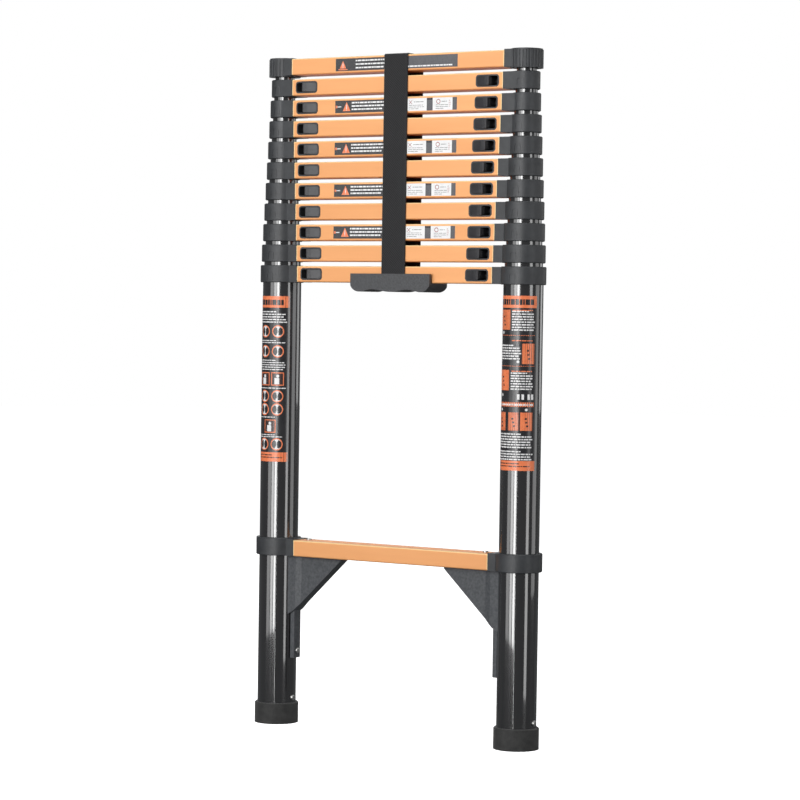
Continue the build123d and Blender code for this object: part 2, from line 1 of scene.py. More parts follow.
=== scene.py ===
"""Looks of the telescoping ladder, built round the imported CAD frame. Metres, +Z up, -Y the front."""

from math import cos, pi, radians, sin

import bmesh
import bpy
from mathutils import Matrix, Vector


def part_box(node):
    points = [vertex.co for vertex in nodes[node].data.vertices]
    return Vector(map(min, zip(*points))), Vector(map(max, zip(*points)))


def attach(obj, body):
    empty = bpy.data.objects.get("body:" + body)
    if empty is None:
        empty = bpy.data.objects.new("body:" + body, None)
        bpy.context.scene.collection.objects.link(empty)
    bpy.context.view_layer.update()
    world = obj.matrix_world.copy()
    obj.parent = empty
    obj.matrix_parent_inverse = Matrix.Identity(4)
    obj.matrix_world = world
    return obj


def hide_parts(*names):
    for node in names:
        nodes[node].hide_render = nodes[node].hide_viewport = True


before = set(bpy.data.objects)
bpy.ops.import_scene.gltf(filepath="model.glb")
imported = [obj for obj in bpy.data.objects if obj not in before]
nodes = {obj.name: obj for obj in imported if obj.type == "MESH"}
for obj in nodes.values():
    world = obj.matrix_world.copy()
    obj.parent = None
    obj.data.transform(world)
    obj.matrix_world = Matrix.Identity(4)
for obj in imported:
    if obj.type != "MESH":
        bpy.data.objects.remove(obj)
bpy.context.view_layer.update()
MM = 0.001

# ---- sizes shared with the CAD model (metres) ---------------------------------
RUNG_HALF_DEPTH = 18.0 * MM
STRAP_WIDTH = 38.0 * MM
STRAP_THICK = 1.5 * MM
RUNG_FRONT = 22.4 * MM            # height of a rung's front face
LABEL_LEFT, LABEL_RIGHT = -98.0 * MM, 99.5 * MM
LABEL_HEIGHT = 17.0 * MM
STILE_LABEL_TOP = 598.7 * MM
STILE_LABEL_HEIGHT = 231.0 * MM
RIGHT_LABEL_RISE = 4.6 * MM        # the right label sits this much higher than the left one
LENS = 127.2                      # focal length for a sensor 36 wide
CAMERA_DISTANCE = 3.8605
CAMERA_AIM = (0.00376, 0.0, 0.4592)
FILM = 0.12 * MM                  # thickness of a label's film
INK = 0.03 * MM                   # how far the print stands on the film


# ---- camera ---------------------------------------------------------------------
def make_camera():
    azimuth, pitch, roll = radians(33.162), radians(1.891), radians(0.855)
    target = Vector(CAMERA_AIM)
    back = Vector((sin(azimuth) * cos(pitch), -cos(azimuth) * cos(pitch), sin(pitch)))
    right = (-back).cross(Vector((0, 0, 1))).normalized()
    up = right.cross(-back)
    tilted_right = cos(roll) * right + sin(roll) * up
    tilted_up = cos(roll) * up - sin(roll) * right
    data = bpy.data.cameras.new("camera")
    data.lens = LENS
    data.sensor_width = 36.0
    data.clip_end = 50.0
    camera = bpy.data.objects.new("camera", data)
    turn = Matrix((tilted_right, tilted_up, back)).transposed().to_4x4()
    camera.matrix_world = Matrix.Translation(target + CAMERA_DISTANCE * back) @ turn
    bpy.context.scene.collection.objects.link(camera)
    bpy.context.scene.camera = camera


# ---- studio ---------------------------------------------------------------------
def area_light(name, azimuth, distance, height, width, tall, power):
    """A soft box facing the ladder; azimuth 0 stands in front of it, 90 at its right."""
    angle = radians(azimuth)
    data = bpy.data.lights.new(name, "AREA")
    data.shape = "RECTANGLE"
    data.size, data.size_y = width, tall
    data.energy = power
    light = bpy.data.objects.new(name, data)
    light.location = (distance * sin(angle), -distance * cos(angle), height)
    towards = Vector((0, 0, 0.5)) - light.location
    light.rotation_euler = towards.to_track_quat("-Z", "Y").to_euler()
    bpy.context.scene.collection.objects.link(light)


def make_studio():
    scene = bpy.context.scene
    scene.view_settings.view_transform = "Standard"
    world = bpy.data.worlds.new("studio")
    scene.world = world
    world.use_nodes = True
    tree = world.node_tree
    tree.nodes.clear()
    out = tree.nodes.new("ShaderNodeOutputWorld")
    seen = tree.nodes.new("ShaderNodeBackground")
    seen.inputs["Color"].default_value = (1, 1, 1, 1)
    seen.inputs["Strength"].default_value = 1.0
    lit = tree.nodes.new("ShaderNodeBackground")
    lit.inputs["Color"].default_value = (0.95, 0.97, 1, 1)
    lit.inputs["Strength"].default_value = 0.12
    path = tree.nodes.new("ShaderNodeLightPath")
    mix = tree.nodes.new("ShaderNodeMixShader")
    tree.links.new(path.outputs["Is Camera Ray"], mix.inputs["Fac"])
    tree.links.new(lit.outputs[0], mix.inputs[1])
    tree.links.new(seen.outputs[0], mix.inputs[2])
    tree.links.new(mix.outputs[0], out.inputs["Surface"])
    area_light("key_near", 8, 2.4, 1.0, 0.55, 2.4, 31)
    area_light("key_mid", -9, 2.4, 1.0, 0.7, 2.4, 20)
    area_light("key_far", -30, 2.4, 1.0, 0.9, 2.4, 10)
    area_light("strip", 17, 2.3, 0.7, 0.03, 2.8, 3)
    area_light("fill_right", 78, 2.6, 0.9, 0.7, 2.4, 12)
    area_light("side_right", 118, 2.8, 1.0, 1.3, 2.2, 9)
    area_light("back_right", 155, 2.8, 1.3, 1.2, 2.0, 9)
    area_light("back_left", -140, 2.8, 1.3, 1.4, 2.0, 10)
    area_light("top", 20, 0.6, 3.0, 2.0, 2.0, 18)
    bpy.ops.mesh.primitive_circle_add(vertices=96, radius=12, fill_type="NGON")
    floor = bpy.context.object
    floor.name = "studio_floor"
    floor.data.materials.append(floor_material())
    floor.visible_diffuse = floor.visible_glossy = False


# ---- materials --------------------------------------------------------------------
def node_at(tree, kind, **values):
    node = tree.nodes.new(kind)
    for key, value in values.items():
        if hasattr(node, key):
            setattr(node, key, value)
        else:
            node.inputs[key].default_value = value
    return node


def noise_on(tree, coords, scale, stretch, detail=3.0):
    """Noise in the object's own metres; stretch squeezes it along each axis."""
    mapping = node_at(tree, "ShaderNodeMapping")
    mapping.inputs["Scale"].default_value = [scale * s for s in stretch]
    noise = node_at(tree, "ShaderNodeTexNoise", Scale=1.0, Detail=detail, Roughness=0.55)
    tree.links.new(coords.outputs["Object"], mapping.inputs["Vector"])
    tree.links.new(mapping.outputs[0], noise.inputs["Vector"])
    return noise.outputs["Fac"]


def ramp(tree, source, stops):
    node = tree.nodes.new("ShaderNodeValToRGB")
    elements = node.color_ramp.elements
    while len(elements) < len(stops):
        elements.new(0.5)
    for element, (place, colour) in zip(elements, stops):
        element.position = place
        element.color = (*colour, 1)
    tree.links.new(source, node.inputs["Fac"])
    return node.outputs["Color"]


def map_range(tree, source, low, high, start=0.3, end=0.7):
    node = node_at(tree, "ShaderNodeMapRange")
    node.inputs["From Min"].default_value = start
    node.inputs["From Max"].default_value = end
    node.inputs["To Min"].default_value = low
    node.inputs["To Max"].default_value = high
    tree.links.new(source, node.inputs["Value"])
    return node.outputs["Result"]


def painted_edge_highlight_mask(tree, coords):
    """Mask for a painted edge highlight: 1 along the upper front edge and both ends of a rung, and 0
    elsewhere.
    """
    axes = tree.nodes.new("ShaderNodeSeparateXYZ")
    tree.links.new(coords.outputs["Generated"], axes.inputs[0])
    x, y, z = axes.outputs
    upper = node_at(tree, "ShaderNodeMath", operation="MULTIPLY")
    tree.links.new(map_range(tree, z, 0.0, 1.0, 0.925, 0.960), upper.inputs[0])
    tree.links.new(map_range(tree, y, 1.0, 0.0, 0.02, 0.06), upper.inputs[1])
    mask = upper.outputs[0]
    left = map_range(tree, x, 1.0, 0.0, 0.0022, 0.0045)
    right = map_range(tree, x, 0.0, 1.0, 0.9955, 0.9978)
    for side in (left, right):
        larger = node_at(tree, "ShaderNodeMath", operation="MAXIMUM")
        tree.links.new(mask, larger.inputs[0])
        tree.links.new(side, larger.inputs[1])
        mask = larger.outputs[0]
    return mask


def finish_material(
    name, dark, light, rough, metallic=0.0, coat=0.0, coat_rough=0.1, coat_ior=1.5,
    sheen=0.0, specular=0.5,
    blotch=(60, (1, 1, 1)), grain=(900, (1, 1, 1)), bump=0.1, bump_depth=0.0002,
    edge=None,
):
    """Soft colour variation, fine grain in bump and gloss, and pale borders, a painted edge highlight,
    if edge is set.
    """
    material = bpy.data.materials.new(name)
    material.use_nodes = True
    tree = material.node_tree
    shader = tree.nodes["Principled BSDF"]
    coords = tree.nodes.new("ShaderNodeTexCoord")
    soft = noise_on(tree, coords, blotch[0], blotch[1])
    fine = noise_on(tree, coords, grain[0], grain[1], detail=2.0)
    colour = ramp(tree, soft, [(0.32, dark), (0.68, light)])
    # painted highlight: the pale edge colour is mixed in along the rung's upper front edge and both ends
    if edge:
        mask = painted_edge_highlight_mask(tree, coords)
        mix = node_at(tree, "ShaderNodeMix", data_type="RGBA")
        mix.inputs[7].default_value = (*edge, 1)
        tree.links.new(mask, mix.inputs[0])
        tree.links.new(colour, mix.inputs[6])
        colour = mix.outputs[2]
    tree.links.new(colour, shader.inputs["Base Color"])
    tree.links.new(map_range(tree, fine, rough[0], rough[1]), shader.inputs["Roughness"])
    shader.inputs["Metallic"].default_value = metallic
    shader.inputs["Coat Weight"].default_value = coat
    shader.inputs["Coat Roughness"].default_value = coat_rough
    shader.inputs["Coat IOR"].default_value = coat_ior
    shader.inputs["Sheen Weight"].default_value = sheen
    shader.inputs["Specular IOR Level"].default_value = specular
    relief = node_at(tree, "ShaderNodeBump", Strength=bump, Distance=bump_depth)
    tree.links.new(fine, relief.inputs["Height"])
    tree.links.new(relief.outputs[0], shader.inputs["Normal"])
    return material


def floor_material():
    material = bpy.data.materials.new("studio_floor")
    material.use_nodes = True
    shader = material.node_tree.nodes["Principled BSDF"]
    shader.inputs["Base Color"].default_value = (0.93, 0.93, 0.93, 1)
    shader.inputs["Roughness"].default_value = 0.8
    shader.inputs["Emission Color"].default_value = (1, 1, 1, 1)
    shader.inputs["Emission Strength"].default_value = 0.95
    return material


def make_materials():
    made = {}
    made["tube"] = finish_material(
        "black_anodised_tube", (0.012, 0.012, 0.013), (0.019, 0.019, 0.020), (0.14, 0.24),
        coat=1.0, coat_rough=0.04, coat_ior=1.95, blotch=(40, (1, 1, 0.15)), grain=(1400, (1, 1, 0.02)),
        bump=0.03,
    )
    made["rung"] = finish_material(
        "orange_anodised_aluminium", (0.86, 0.385, 0.145), (0.92, 0.43, 0.17), (0.36, 0.50),
        metallic=0.12, blotch=(14, (0.35, 3, 3)), grain=(700, (0.02, 1, 1)), bump=0.06,
        # edge: colour of the painted highlight along the rung's upper front edge and ends
        edge=(1.0, 0.72, 0.36),
    )
    made["collar"] = finish_material(
        "collar_plastic", (0.034, 0.036, 0.039), (0.047, 0.050, 0.054), (0.40, 0.56),
        grain=(1100, (1, 1, 1)), bump=0.22,
    )
    made["lock"] = finish_material(
        "lock_plastic", (0.024, 0.024, 0.027), (0.040, 0.040, 0.044), (0.30, 0.42),
        grain=(1500, (1, 1, 1)), bump=0.10,
    )
    made["clamp"] = finish_material(
        "clamp_plastic", (0.032, 0.034, 0.037), (0.045, 0.048, 0.052), (0.36, 0.50),
        grain=(1000, (1, 1, 1)), bump=0.20,
    )
    made["gusset"] = finish_material(
        "gusset_plastic", (0.050, 0.054, 0.060), (0.085, 0.090, 0.098), (0.34, 0.58),
        blotch=(300, (1, 1, 1)), grain=(700, (1, 1, 1)), bump=0.45,
    )
    made["rubber"] = finish_material(
        "shoe_rubber", (0.018, 0.018, 0.018), (0.034, 0.034, 0.033), (0.62, 0.82), sheen=0.15,
        blotch=(90, (1, 1, 1)), grain=(800, (1, 1, 1)), bump=0.35,
    )
    made["steel"] = finish_material(
        "zinc_screw", (0.55, 0.55, 0.53), (0.72, 0.72, 0.70), (0.22, 0.38), metallic=1.0,
        grain=(2500, (1, 1, 1)), bump=0.12,
    )
    made["handle"] = finish_material(
        "handle_plastic", (0.050, 0.051, 0.054), (0.075, 0.077, 0.082), (0.46, 0.66),
        blotch=(500, (1, 1, 1)), grain=(900, (1, 1, 1)), bump=0.5,
    )
    made["film_black"] = finish_material(
        "label_film_black", (0.020, 0.020, 0.022), (0.030, 0.030, 0.033), (0.20, 0.30),
        coat=0.3, grain=(1200, (1, 1, 1)), bump=0.05,
    )
    made["film_grey"] = finish_material(
        "label_film_grey", (0.075, 0.075, 0.085), (0.095, 0.095, 0.105), (0.25, 0.35),
        coat=0.2, grain=(1200, (1, 1, 1)), bump=0.05,
    )
    made["film_white"] = finish_material(
        "label_film_white", (0.80, 0.80, 0.80), (0.88, 0.88, 0.88), (0.25, 0.35),
        coat=0.2, grain=(1200, (1, 1, 1)), bump=0.05,
    )
    made["ink_white"] = finish_material(
        "label_ink_white", (0.78, 0.78, 0.78), (0.90, 0.90, 0.90), (0.30, 0.42),
        blotch=(900, (1, 1, 1)), bump=0.04,
    )
    made["ink_orange"] = finish_material(
        "label_ink_orange", (0.84, 0.20, 0.075), (0.92, 0.26, 0.11), (0.26, 0.36),
        coat=0.2, blotch=(200, (1, 1, 1)), bump=0.04,
    )
    made["ink_red"] = finish_material(
        "label_ink_red", (0.30, 0.05, 0.05), (0.38, 0.08, 0.08), (0.30, 0.42),
        blotch=(600, (1, 1, 1)), bump=0.04,
    )
    made["webbing"] = webbing_material()
    return made


def webbing_material():
    """Black woven strap: broken diagonal bands in colour and bump over the modelled ribs."""
    material = bpy.data.materials.new("strap_webbing")
    material.use_nodes = True
    tree = material.node_tree
    shader = tree.nodes["Principled BSDF"]
    coords = tree.nodes.new("ShaderNodeTexCoord")
    yarn = noise_on(tree, coords, 1100, (1, 1, 1), detail=2.0)
    worn = noise_on(tree, coords, 45, (1, 1, 0.5))
    mapping = node_at(tree, "ShaderNodeMapping")
    mapping.inputs["Rotation"].default_value = (0, radians(45), 0)
    wave = node_at(tree, "ShaderNodeTexWave", Scale=130.0, Distortion=3.0, Detail=2.0)
    tree.links.new(coords.outputs["Object"], mapping.inputs["Vector"])
    tree.links.new(mapping.outputs[0], wave.inputs["Vector"])
    blend = node_at(tree, "ShaderNodeMath", operation="MULTIPLY_ADD")
    blend.inputs[1].default_value = 0.55
    tree.links.new(wave.outputs["Fac"], blend.inputs[0])
    half = node_at(tree, "ShaderNodeMath", operation="MULTIPLY")
    half.inputs[1].default_value = 0.45
    tree.links.new(yarn, half.inputs[0])
    tree.links.new(half.outputs[0], blend.inputs[2])
    dark = ramp(tree, blend.outputs[0], [(0.30, (0.004, 0.004, 0.005)), (0.85, (0.036, 0.036, 0.038))])
    faded = ramp(tree, worn, [(0.35, (0.85, 0.85, 0.85)), (0.75, (1.0, 1.0, 1.0))])
    mix = node_at(tree, "ShaderNodeMix", data_type="RGBA", blend_type="MULTIPLY")
    mix.inputs[0].default_value = 1.0
    tree.links.new(dark, mix.inputs[6])
    tree.links.new(faded, mix.inputs[7])
    tree.links.new(mix.outputs[2], shader.inputs["Base Color"])
    tree.links.new(map_range(tree, yarn, 0.70, 0.92), shader.inputs["Roughness"])
    shader.inputs["Sheen Weight"].default_value = 0.3
    shader.inputs["Sheen Roughness"].default_value = 0.5
    shader.inputs["Specular IOR Level"].default_value = 0.35
    relief = node_at(tree, "ShaderNodeBump", Strength=0.7, Distance=0.0004)
    tree.links.new(blend.outputs[0], relief.inputs["Height"])
    tree.links.new(relief.outputs[0], shader.inputs["Normal"])
    return material


def dress_nodes(materials):
    kinds = {
        "stile_tubes": "tube", "rung_collars": "collar", "rung_clamps": "clamp", "rung_": "rung",
        "lock_": "lock", "top_caps": "collar", "gussets": "gusset", "rubber_feet": "rubber",
        "screws": "steel", "carry_handle": "handle", "carry_strap": "webbing",
    }
    for name, node in nodes.items():
        kind = next(kinds[start] for start in kinds if name.startswith(start))
        for slot in node.material_slots:
            slot.material = materials[kind]


# ---- mesh helpers -------------------------------------------------------------------
def make_piece(name, vertices, faces, materials, indices=None, smooth=False):
    mesh = bpy.data.meshes.new(name)
    mesh.from_pydata(vertices, [], faces)
    for material in materials:
        mesh.materials.append(material)
    if indices:
        mesh.polygons.foreach_set("material_index", indices)
    mesh.polygons.foreach_set("use_smooth", [smooth] * len(faces))
    mesh.validate()
    mesh.update()
    piece = bpy.data.objects.new(name, mesh)
    bpy.context.scene.collection.objects.link(piece)
    return piece


class Label:
    """A printed label: closed thin patches laid on a surface that place(u, v, lift) gives."""

    def __init__(self, place, materials):
        self.place = place
        self.materials = materials
        self.names = []
        self.vertices, self.faces, self.indices = [], [], []

    def _material(self, name):
        if name not in self.names:
            self.names.append(name)
        return self.names.index(name)

    def _skin(self, rings, low, high, name):
        """A closed patch from rows of (u, v) points: rings[i][j], open grid."""
        rows, columns = len(rings), len(rings[0])
        start = len(self.vertices)
        for lift in (low, high):
            for row in rings:
                self.vertices += [self.place(u, v, lift) for u, v in row]
        layer = rows * columns

        def at(side, i, j):
            return start + side * layer + i * columns + j

        made = []
        for i in range(rows - 1):
            for j in range(columns - 1):
                made.append((at(1, i, j), at(1, i, j + 1), at(1, i + 1, j + 1), at(1, i + 1, j)))
                made.append((at(0, i, j), at(0, i + 1, j), at(0, i + 1, j + 1), at(0, i, j + 1)))
        for j in range(columns - 1):
            made.append((at(0, 0, j), at(0, 0, j + 1), at(1, 0, j + 1), at(1, 0, j)))
            end = rows - 1
            made.append((at(0, end, j + 1), at(0, end, j), at(1, end, j), at(1, end, j + 1)))
        for i in range(rows - 1):
            made.append((at(0, i + 1, 0), at(0, i, 0), at(1, i, 0), at(1, i + 1, 0)))
            end = columns - 1
            made.append((at(0, i, end), at(0, i + 1, end), at(1, i + 1, end), at(1, i, end)))
        self.faces += made
        self.indices += [self._material(name)] * len(made)

    def rectangle(self, u0, u1, v0, v1, name, low=FILM, high=FILM + INK, step=3 * MM):
        columns = max(2, int(abs(u1 - u0) / step) + 2)
        us = [u0 + (u1 - u0) * k / (columns - 1) for k in range(columns)]
        self._skin([[(u, v0) for u in us], [(u, v1) for u in us]], low, high, name)

    def triangle(self, u, v, width, height, name, low=FILM, high=FILM + INK):
        base = [(u - width / 2, v), (u, v), (u + width / 2, v)]
        top = [(u - width * 0.02, v + height), (u, v + height), (u + width * 0.02, v + height)]
        self._skin([base, top], low, high, name)

    def ring(self, u, v, radius, width, name, low=FILM, high=FILM + INK, steps=28):
        turns = [2 * pi * k / steps for k in range(steps + 1)]
        inner = [(u + (radius - width) * cos(t), v + (radius - width) * sin(t)) for t in turns]
        outer = [(u + radius * cos(t), v + radius * sin(t)) for t in turns]
        self._skin([outer, inner], low, high, name)

    def disc(self, u, v, radius, name, low=FILM, high=FILM + INK):
        self.ring(u, v, radius, radius * 0.97, name, low, high, steps=20)

    def text_bars(self, u0, u1, v_top, lines, pitch, name, height=1.1 * MM, seed=0):
        """Stand-ins for lines of print: rows of word-length bars in a fixed irregular rhythm."""
        for line in range(lines):
            u, k = u0, 0
            v = v_top - line * pitch
            last = line == lines - 1 and lines > 1
            end = u1 - (u1 - u0) * (0.28 if last else 0.03 * ((line + seed) % 3))
            while u < end - 1.5 * MM:
                word = (2.2 + 1.35 * ((7 * k + 5 * line + 3 * seed) % 4)) * MM
                stop = min(u + word, end)
                self.rectangle(u, stop, v - height, v, name)
                u = stop + 0.9 * MM
                k += 1

    def finish(self, name, body):
        used = [self.materials[n] for n in self.names]
        piece = make_piece(name, self.vertices, self.faces, used, self.indices)
        weld(piece.data)
        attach(piece, body)
        return piece


def weld(mesh):
    """Joins the doubled seam points of rings so that every patch is closed."""
    shape = bmesh.new()
    shape.from_mesh(mesh)
    bmesh.ops.remove_doubles(shape, verts=shape.verts, dist=1e-7)
    bmesh.ops.recalc_face_normals(shape, faces=shape.faces)
    shape.to_mesh(mesh)
    shape.free()


# ---- rung labels ---------------------------------------------------------------------
def rung_place(middle):
    def place(u, v, lift):
        return (u, -RUNG_HALF_DEPTH - lift, middle + v)
    return place


def warning_triangle(label, u, height):
    half = height / 2
    label.triangle(u, -half, height * 1.05, height, "ink_orange")
    top = FILM + 2 * INK
    for low, high in ((-half + 2.6 * MM, half - 3.0 * MM), (-half + 0.9 * MM, -half + 1.8 * MM)):
        label.rectangle(u - 0.5 * MM, u + 0.5 * MM, low, high, "ink_white", FILM + INK, top)


def rung_label(number, materials):
    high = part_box(f"rung_{number:02d}")[1]
    label = Label(rung_place(high.z - RUNG_FRONT / 2), materials)
    half = LABEL_HEIGHT / 2
    body = f"section_{number - 1:02d}"
    if number == 12:
        label.rectangle(LABEL_LEFT, 0.0, -half, half, "film_black", 0.0, FILM)
        label.rectangle(0.0, LABEL_RIGHT, -half, half, "film_grey", 0.0, FILM)
        warning_triangle(label, LABEL_LEFT + 12 * MM, 10 * MM)
        label.rectangle(
            LABEL_LEFT + 4.5 * MM, LABEL_LEFT + 19.5 * MM, -7.2 * MM, -5.9 * MM, "ink_orange"
        )
        label.text_bars(-65 * MM, -1 * MM, 6.2 * MM, 3, 4.9 * MM, "ink_white", 2.0 * MM)
        label.text_bars(3 * MM, 95 * MM, -4.6 * MM, 1, 3 * MM, "ink_white", 1.9 * MM, seed=1)
        return label.finish("rung_label_12", body)
    label.rectangle(LABEL_LEFT, 0.0, -half, half, "film_black", 0.0, FILM)
    label.rectangle(0.0, LABEL_RIGHT, -half, half, "film_white", 0.0, FILM)
    label.rectangle(-95 * MM, -88 * MM, -0.6 * MM, 0.6 * MM, "ink_white")
    label.rectangle(-97 * MM, -94 * MM, -1.6 * MM, 1.6 * MM, "ink_orange")
    warning_triangle(label, -79 * MM, 12 * MM)
    label.text_bars(-70.5 * MM, -1 * MM, 6.2 * MM, 3, 4.5 * MM, "ink_white", 2.1 * MM, seed=number)
    for turn in (1, -1):
        cross_bar(label, 25.5 * MM, 3.2 * MM, turn)
    label.text_bars(31 * MM, 47 * MM, 3.9 * MM, 1, 2 * MM, "film_grey", 0.7 * MM)
    label.text_bars(23 * MM, 47 * MM, -0.6 * MM, 3, 2.4 * MM, "film_grey", 0.6 * MM, seed=2)
    label.rectangle(51.5 * MM, 61 * MM, -half, half, "film_grey", FILM, FILM + INK)
    label.rectangle(51.5 * MM, 61 * MM, 5.8 * MM, half, "film_black", FILM + INK, FILM + 2 * INK)
    label.ring(70 * MM, 3.2 * MM, 3.2 * MM, 0.9 * MM, "ink_red")
    label.text_bars(75 * MM, 84 * MM, 3.6 * MM, 1, 2 * MM, "film_grey", 0.7 * MM, seed=1)
    label.text_bars(66 * MM, 86 * MM, -1.0 * MM, 3, 2.4 * MM, "film_grey", 0.6 * MM, seed=3)
    label.text_bars(86.5 * MM, 90 * MM, 4.6 * MM, 4, 2.6 * MM, "ink_red", 0.6 * MM)
    label.rectangle(92.5 * MM, LABEL_RIGHT, -half, half, "film_grey", FILM, FILM + INK)
    return label.finish(f"rung_label_{number:02d}", body)


def cross_bar(label, u, v, turn):
    """One stroke of a diagonal cross, 5 mm high."""
    half, line = 2.5 * MM, 0.9 * MM
    foot = [(u - turn * half - line / 2, v - half), (u - turn * half + line / 2, v - half)]
    head = [(u + turn * half - line / 2, v + half), (u + turn * half + line / 2, v + half)]
    label._skin([foot, head], FILM, FILM + INK, "ink_red")


# ---- stile labels ----------------------------------------------------------------------
def stile_place(axis_x, radius, top):
    def place(u, v, lift):
        angle = u / radius
        reach = radius + lift
        return (axis_x + reach * sin(angle), -reach * cos(angle), top - v)
    return place


def pictogram(label, u, v, radius):
    """A ringed generic sign: orange ring and slash on a white field, with dark blobs."""
    top = FILM + 2 * INK
    label.disc(u, v, radius * 0.86, "ink_white", FILM, FILM + INK)
    label.disc(u - 0.28 * radius, v - 0.40 * radius, radius * 0.17, "film_black", FILM + INK, top)
    blobs = ((-0.24, 0.02, 0.17, 0.30), (0.20, 0.10, 0.10, 0.52), (0.42, 0.10, 0.06, 0.34))
    for du, dv, wide, tall in blobs:
        label.rectangle(
            u + (du - wide) * radius, u + (du + wide) * radius,
            v + (dv - tall) * radius, v + (dv + tall) * radius, "film_black", FILM + INK, top,
        )
    label.ring(u, v, radius, radius * 0.17, "ink_orange", FILM, top + INK)
    reach, half = 0.64 * radius, 0.09 * radius
    slash = [
        [(u - reach - half, v - reach + half), (u - reach + half, v - reach - half)],
        [(u + reach - half, v + reach + half), (u + reach + half, v + reach - half)],
    ]
    label._skin(slash, top, top + INK, "ink_orange")


def framed_sign(label, u, v, half):
    """A square sign: orange frame, dark field, white block shapes."""
    label.rectangle(u - half, u + half, v - half, v + half, "ink_orange")
    inner = half - 1.3 * MM
    top = FILM + 2 * INK
    label.rectangle(u - inner, u + inner, v - inner, v + inner, "film_black", FILM + INK, top)
    label.rectangle(
        u - 0.45 * half, u + 0.3 * half, v - 0.15 * half, v + 0.8 * half, "ink_white", top, top + INK
    )
    label.disc(u + 0.05 * half, v - 0.42 * half, 0.24 * half, "ink_white", top, top + INK)


def stile_label_left(materials, axis_x, radius):
    label = Label(stile_place(axis_x, radius, STILE_LABEL_TOP), materials)
    left, right = -34.0 * MM, 27.4 * MM
    film(label, left, right)
    label.text_bars(left + 3 * MM, right - 4 * MM, 12.5 * MM, 1, 3 * MM, "film_black", 7.5 * MM, seed=2)
    label.text_bars(left + 3 * MM, right - 3 * MM, 37 * MM, 5, 3.6 * MM, "ink_white", 1.6 * MM)
    for row in (49.2, 77.0, 139.6, 158.0, 206.7):
        for u in (-9.2, 11.8):
            pictogram(label, u * MM, row * MM, 8.6 * MM)
        label.text_bars(
            left + 3 * MM, -21 * MM, (row + 6) * MM, 4, 3.6 * MM, "ink_white", 1.2 * MM, seed=1
        )
    label.text_bars(left + 3 * MM, right - 3 * MM, 65.5 * MM, 2, 2.8 * MM, "ink_white", 1.2 * MM, seed=1)
    label.text_bars(left + 3 * MM, right - 3 * MM, 103 * MM, 5, 3.2 * MM, "ink_white", 1.3 * MM, seed=2)
    for u in (-9.2, 11.8):
        framed_sign(label, u * MM, 115.5 * MM, 9.2 * MM)
    label.text_bars(left + 3 * MM, right - 3 * MM, 129 * MM, 1, 3 * MM, "ink_white", 1.3 * MM, seed=3)
    label.text_bars(left + 3 * MM, 10 * MM, 169.5 * MM, 1, 3 * MM, "ink_white", 1.2 * MM, seed=1)
    framed_sign(label, 1.0 * MM, 181.5 * MM, 9.2 * MM)
    label.text_bars(left + 3 * MM, right - 3 * MM, 197 * MM, 2, 2.8 * MM, "ink_white", 1.2 * MM, seed=2)
    label.text_bars(left + 3 * MM, right - 6 * MM, 226 * MM, 2, 3.6 * MM, "film_black", 1.5 * MM, seed=1)
    return label.finish("stile_label_left", "section_01")


def film(label, left, right):
    """The stile label's black film with its orange head and foot bands."""
    head, foot = 16.0 * MM, 13.0 * MM
    bands = ((0.0, head, "ink_orange"), (head, STILE_LABEL_HEIGHT - foot, "film_black"),
             (STILE_LABEL_HEIGHT - foot, STILE_LABEL_HEIGHT, "ink_orange"))
    for v0, v1, name in bands:
        label.rectangle(left, right, v0, v1, name, 0.0, FILM, step=1.5 * MM)


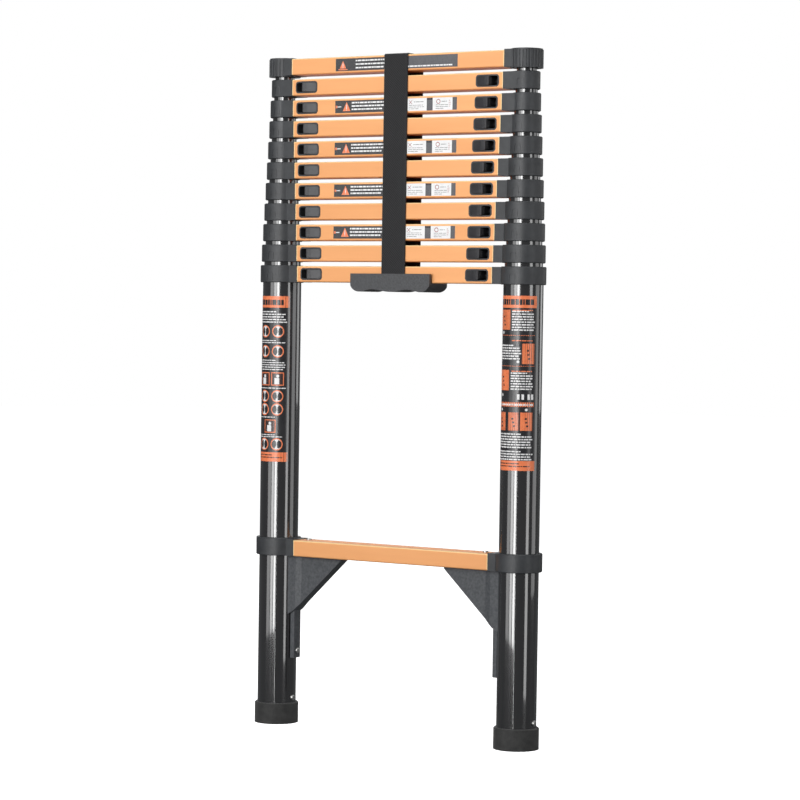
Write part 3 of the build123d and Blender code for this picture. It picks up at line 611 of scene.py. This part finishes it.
def stile_label_right(materials, axis_x, radius):
    label = Label(stile_place(axis_x, radius, STILE_LABEL_TOP + RIGHT_LABEL_RISE), materials)
    left, right = -26.4 * MM, 34.4 * MM
    film(label, left, right)
    label.text_bars(left + 3 * MM, right - 3 * MM, 12 * MM, 1, 3 * MM, "film_black", 7.5 * MM, seed=1)
    panels = [
        (-26.0, -3.2, 18.6, 45.0), (14.2, 31.0, 63.0, 90.0), (-26.0, -4.0, 98.0, 125.0),
        (-26.0, -9.0, 154.0, 178.0), (-4.0, 10.5, 154.0, 178.0), (13.0, 29.5, 154.0, 178.0),
    ]
    for k, (u0, u1, v0, v1) in enumerate(panels):
        label.rectangle(u0 * MM, u1 * MM, v0 * MM, v1 * MM, "ink_orange")
        middle = (u0 + u1) / 2
        for step in range(3):
            v = v0 + (v1 - v0) * (0.3 + 0.2 * step)
            label.rectangle(
                (middle - 2.2 + step) * MM, (middle + 0.6 + step) * MM, v * MM, (v + 2.4) * MM,
                "film_black", FILM + INK, FILM + 2 * INK,
            )
    blocks = [
        (-0.5, 31.4, 46.0, 8), (-26.0, 13.0, 84.0, 6), (-1.0, 30.0, 124.0, 7),
        (-26.0, 31.0, 201.0, 6), (-26.0, 31.0, 217.0, 4),
    ]
    for seed, (u0, u1, v_top, lines) in enumerate(blocks):
        label.text_bars(u0 * MM, u1 * MM, v_top * MM, lines, 3.5 * MM, "ink_white", 1.7 * MM, seed=seed)
    for v in (18.6, 58.5, 99.0):
        label.text_bars(0.0, 30 * MM, (v + 1.3) * MM, 1, 3 * MM, "ink_orange", 1.3 * MM, seed=2)
    for v in (52.0, 92.5):
        label.rectangle(left + 1 * MM, right - 3 * MM, v * MM, (v + 0.6) * MM, "ink_orange")
    label.rectangle(left + 1 * MM, right - 3 * MM, 140.6 * MM, 146.5 * MM, "ink_orange")
    label.text_bars(left + 2 * MM, right - 4 * MM, 145 * MM, 1, 3 * MM, "ink_white", 2.4 * MM, seed=3)
    for u, v in ((-17.0, 48.6), (9.0, 87.0), (-17.0, 131.0), (-18.0, 150.4), (21.0, 150.4)):
        label.disc(u * MM, v * MM, 1.9 * MM, "ink_white")
    for u in (10.0, 16.0, 24.0, 29.0):
        label.rectangle((u - 1.6) * MM, (u + 1.6) * MM, 130 * MM, 137 * MM, "ink_white")
    label.text_bars(left + 3 * MM, right - 6 * MM, 226 * MM, 2, 3.6 * MM, "film_black", 1.5 * MM, seed=1)
    return label.finish("stile_label_right", "section_01")


# ---- strap -----------------------------------------------------------------------------
def strap_path(foot_z, top_z, front_y, back_y, radius, step):
    """Points and outward normals along the strap: up the front, over the top, down the back."""
    points = []
    turns = [pi / 2 * k / 6 for k in range(1, 6)]
    rise = top_z - radius - foot_z
    for k in range(int(rise / step) + 1):
        points.append(((front_y, foot_z + rise * k / int(rise / step)), (-1.0, 0.0)))
    for turn in turns:
        y, z = front_y + radius - radius * cos(turn), top_z - radius + radius * sin(turn)
        points.append(((y, z), (-cos(turn), sin(turn))))
    run = back_y - front_y - 2 * radius
    for k in range(int(run / step) + 1):
        points.append(((front_y + radius + run * k / int(run / step), top_z), (0.0, 1.0)))
    for turn in turns:
        y, z = back_y - radius + radius * sin(turn), top_z - radius + radius * cos(turn)
        points.append(((y, z), (sin(turn), cos(turn))))
    for k in range(int(rise / step) + 1):
        points.append(((back_y, top_z - radius - rise * k / int(rise / step)), (1.0, 0.0)))
    return points


def make_strap(materials):
    low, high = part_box("carry_strap")
    middle_x = (low.x + high.x) / 2
    inset = 0.85 * MM
    points = strap_path(low.z, high.z - inset, low.y + inset, high.y - inset, 1.7 * MM, 0.8 * MM)
    across = 48
    rib_pitch = 2.8 * MM
    rib = 0.22 * MM
    vertices, faces = [], []
    length, places, previous = 0.0, [], points[0][0]
    for (y, z), _normal in points:
        length += ((y - previous[0]) ** 2 + (z - previous[1]) ** 2) ** 0.5
        places.append(length)
        previous = (y, z)
    for side in (1, -1):
        for ((y, z), (ny, nz)), s in zip(points, places):
            for j in range(across + 1):
                w = -STRAP_WIDTH / 2 + STRAP_WIDTH * j / across
                folded = abs(w) - STRAP_WIDTH / 2
                diagonal = sin(2 * pi * (s + side * w) / rib_pitch)
                wave = 0.5 + 0.5 * diagonal * sin(2 * pi * w / (2.1 * rib_pitch))
                edge = 0.55 if j in (0, across) else 1.0
                selvage = 0.10 * MM if folded > -1.8 * MM else 0.0
                lift = side * edge * (STRAP_THICK / 2 - rib + rib * wave + selvage)
                vertices.append((middle_x + w, y + ny * lift, z + nz * lift))
    rows, columns = len(points), across + 1
    layer = rows * columns

    def at(side, i, j):
        return side * layer + i * columns + j

    for i in range(rows - 1):
        for j in range(across):
            faces.append((at(0, i, j), at(0, i, j + 1), at(0, i + 1, j + 1), at(0, i + 1, j)))
            faces.append((at(1, i, j), at(1, i + 1, j), at(1, i + 1, j + 1), at(1, i, j + 1)))
        faces.append((at(0, i + 1, 0), at(1, i + 1, 0), at(1, i, 0), at(0, i, 0)))
        faces.append((at(0, i, across), at(1, i, across), at(1, i + 1, across), at(0, i + 1, across)))
    for j in range(across):
        faces.append((at(0, 0, j + 1), at(0, 0, j), at(1, 0, j), at(1, 0, j + 1)))
        end = rows - 1
        faces.append((at(0, end, j), at(0, end, j + 1), at(1, end, j + 1), at(1, end, j)))
    strap = make_piece("webbing_strap", vertices, faces, [materials["webbing"]], smooth=True)
    weld(strap.data)
    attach(strap, "section_11")
    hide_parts("carry_strap")


make_camera()
make_studio()
finishes = make_materials()
dress_nodes(finishes)
tube_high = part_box("stile_tubes_01")[1]
tube_radius = tube_high.y
stile_x = tube_high.x - tube_radius
stile_label_left(finishes, -stile_x, tube_radius)
stile_label_right(finishes, stile_x, tube_radius)
for rung_number in (4, 6, 8, 10, 12):
    rung_label(rung_number, finishes)
make_strap(finishes)
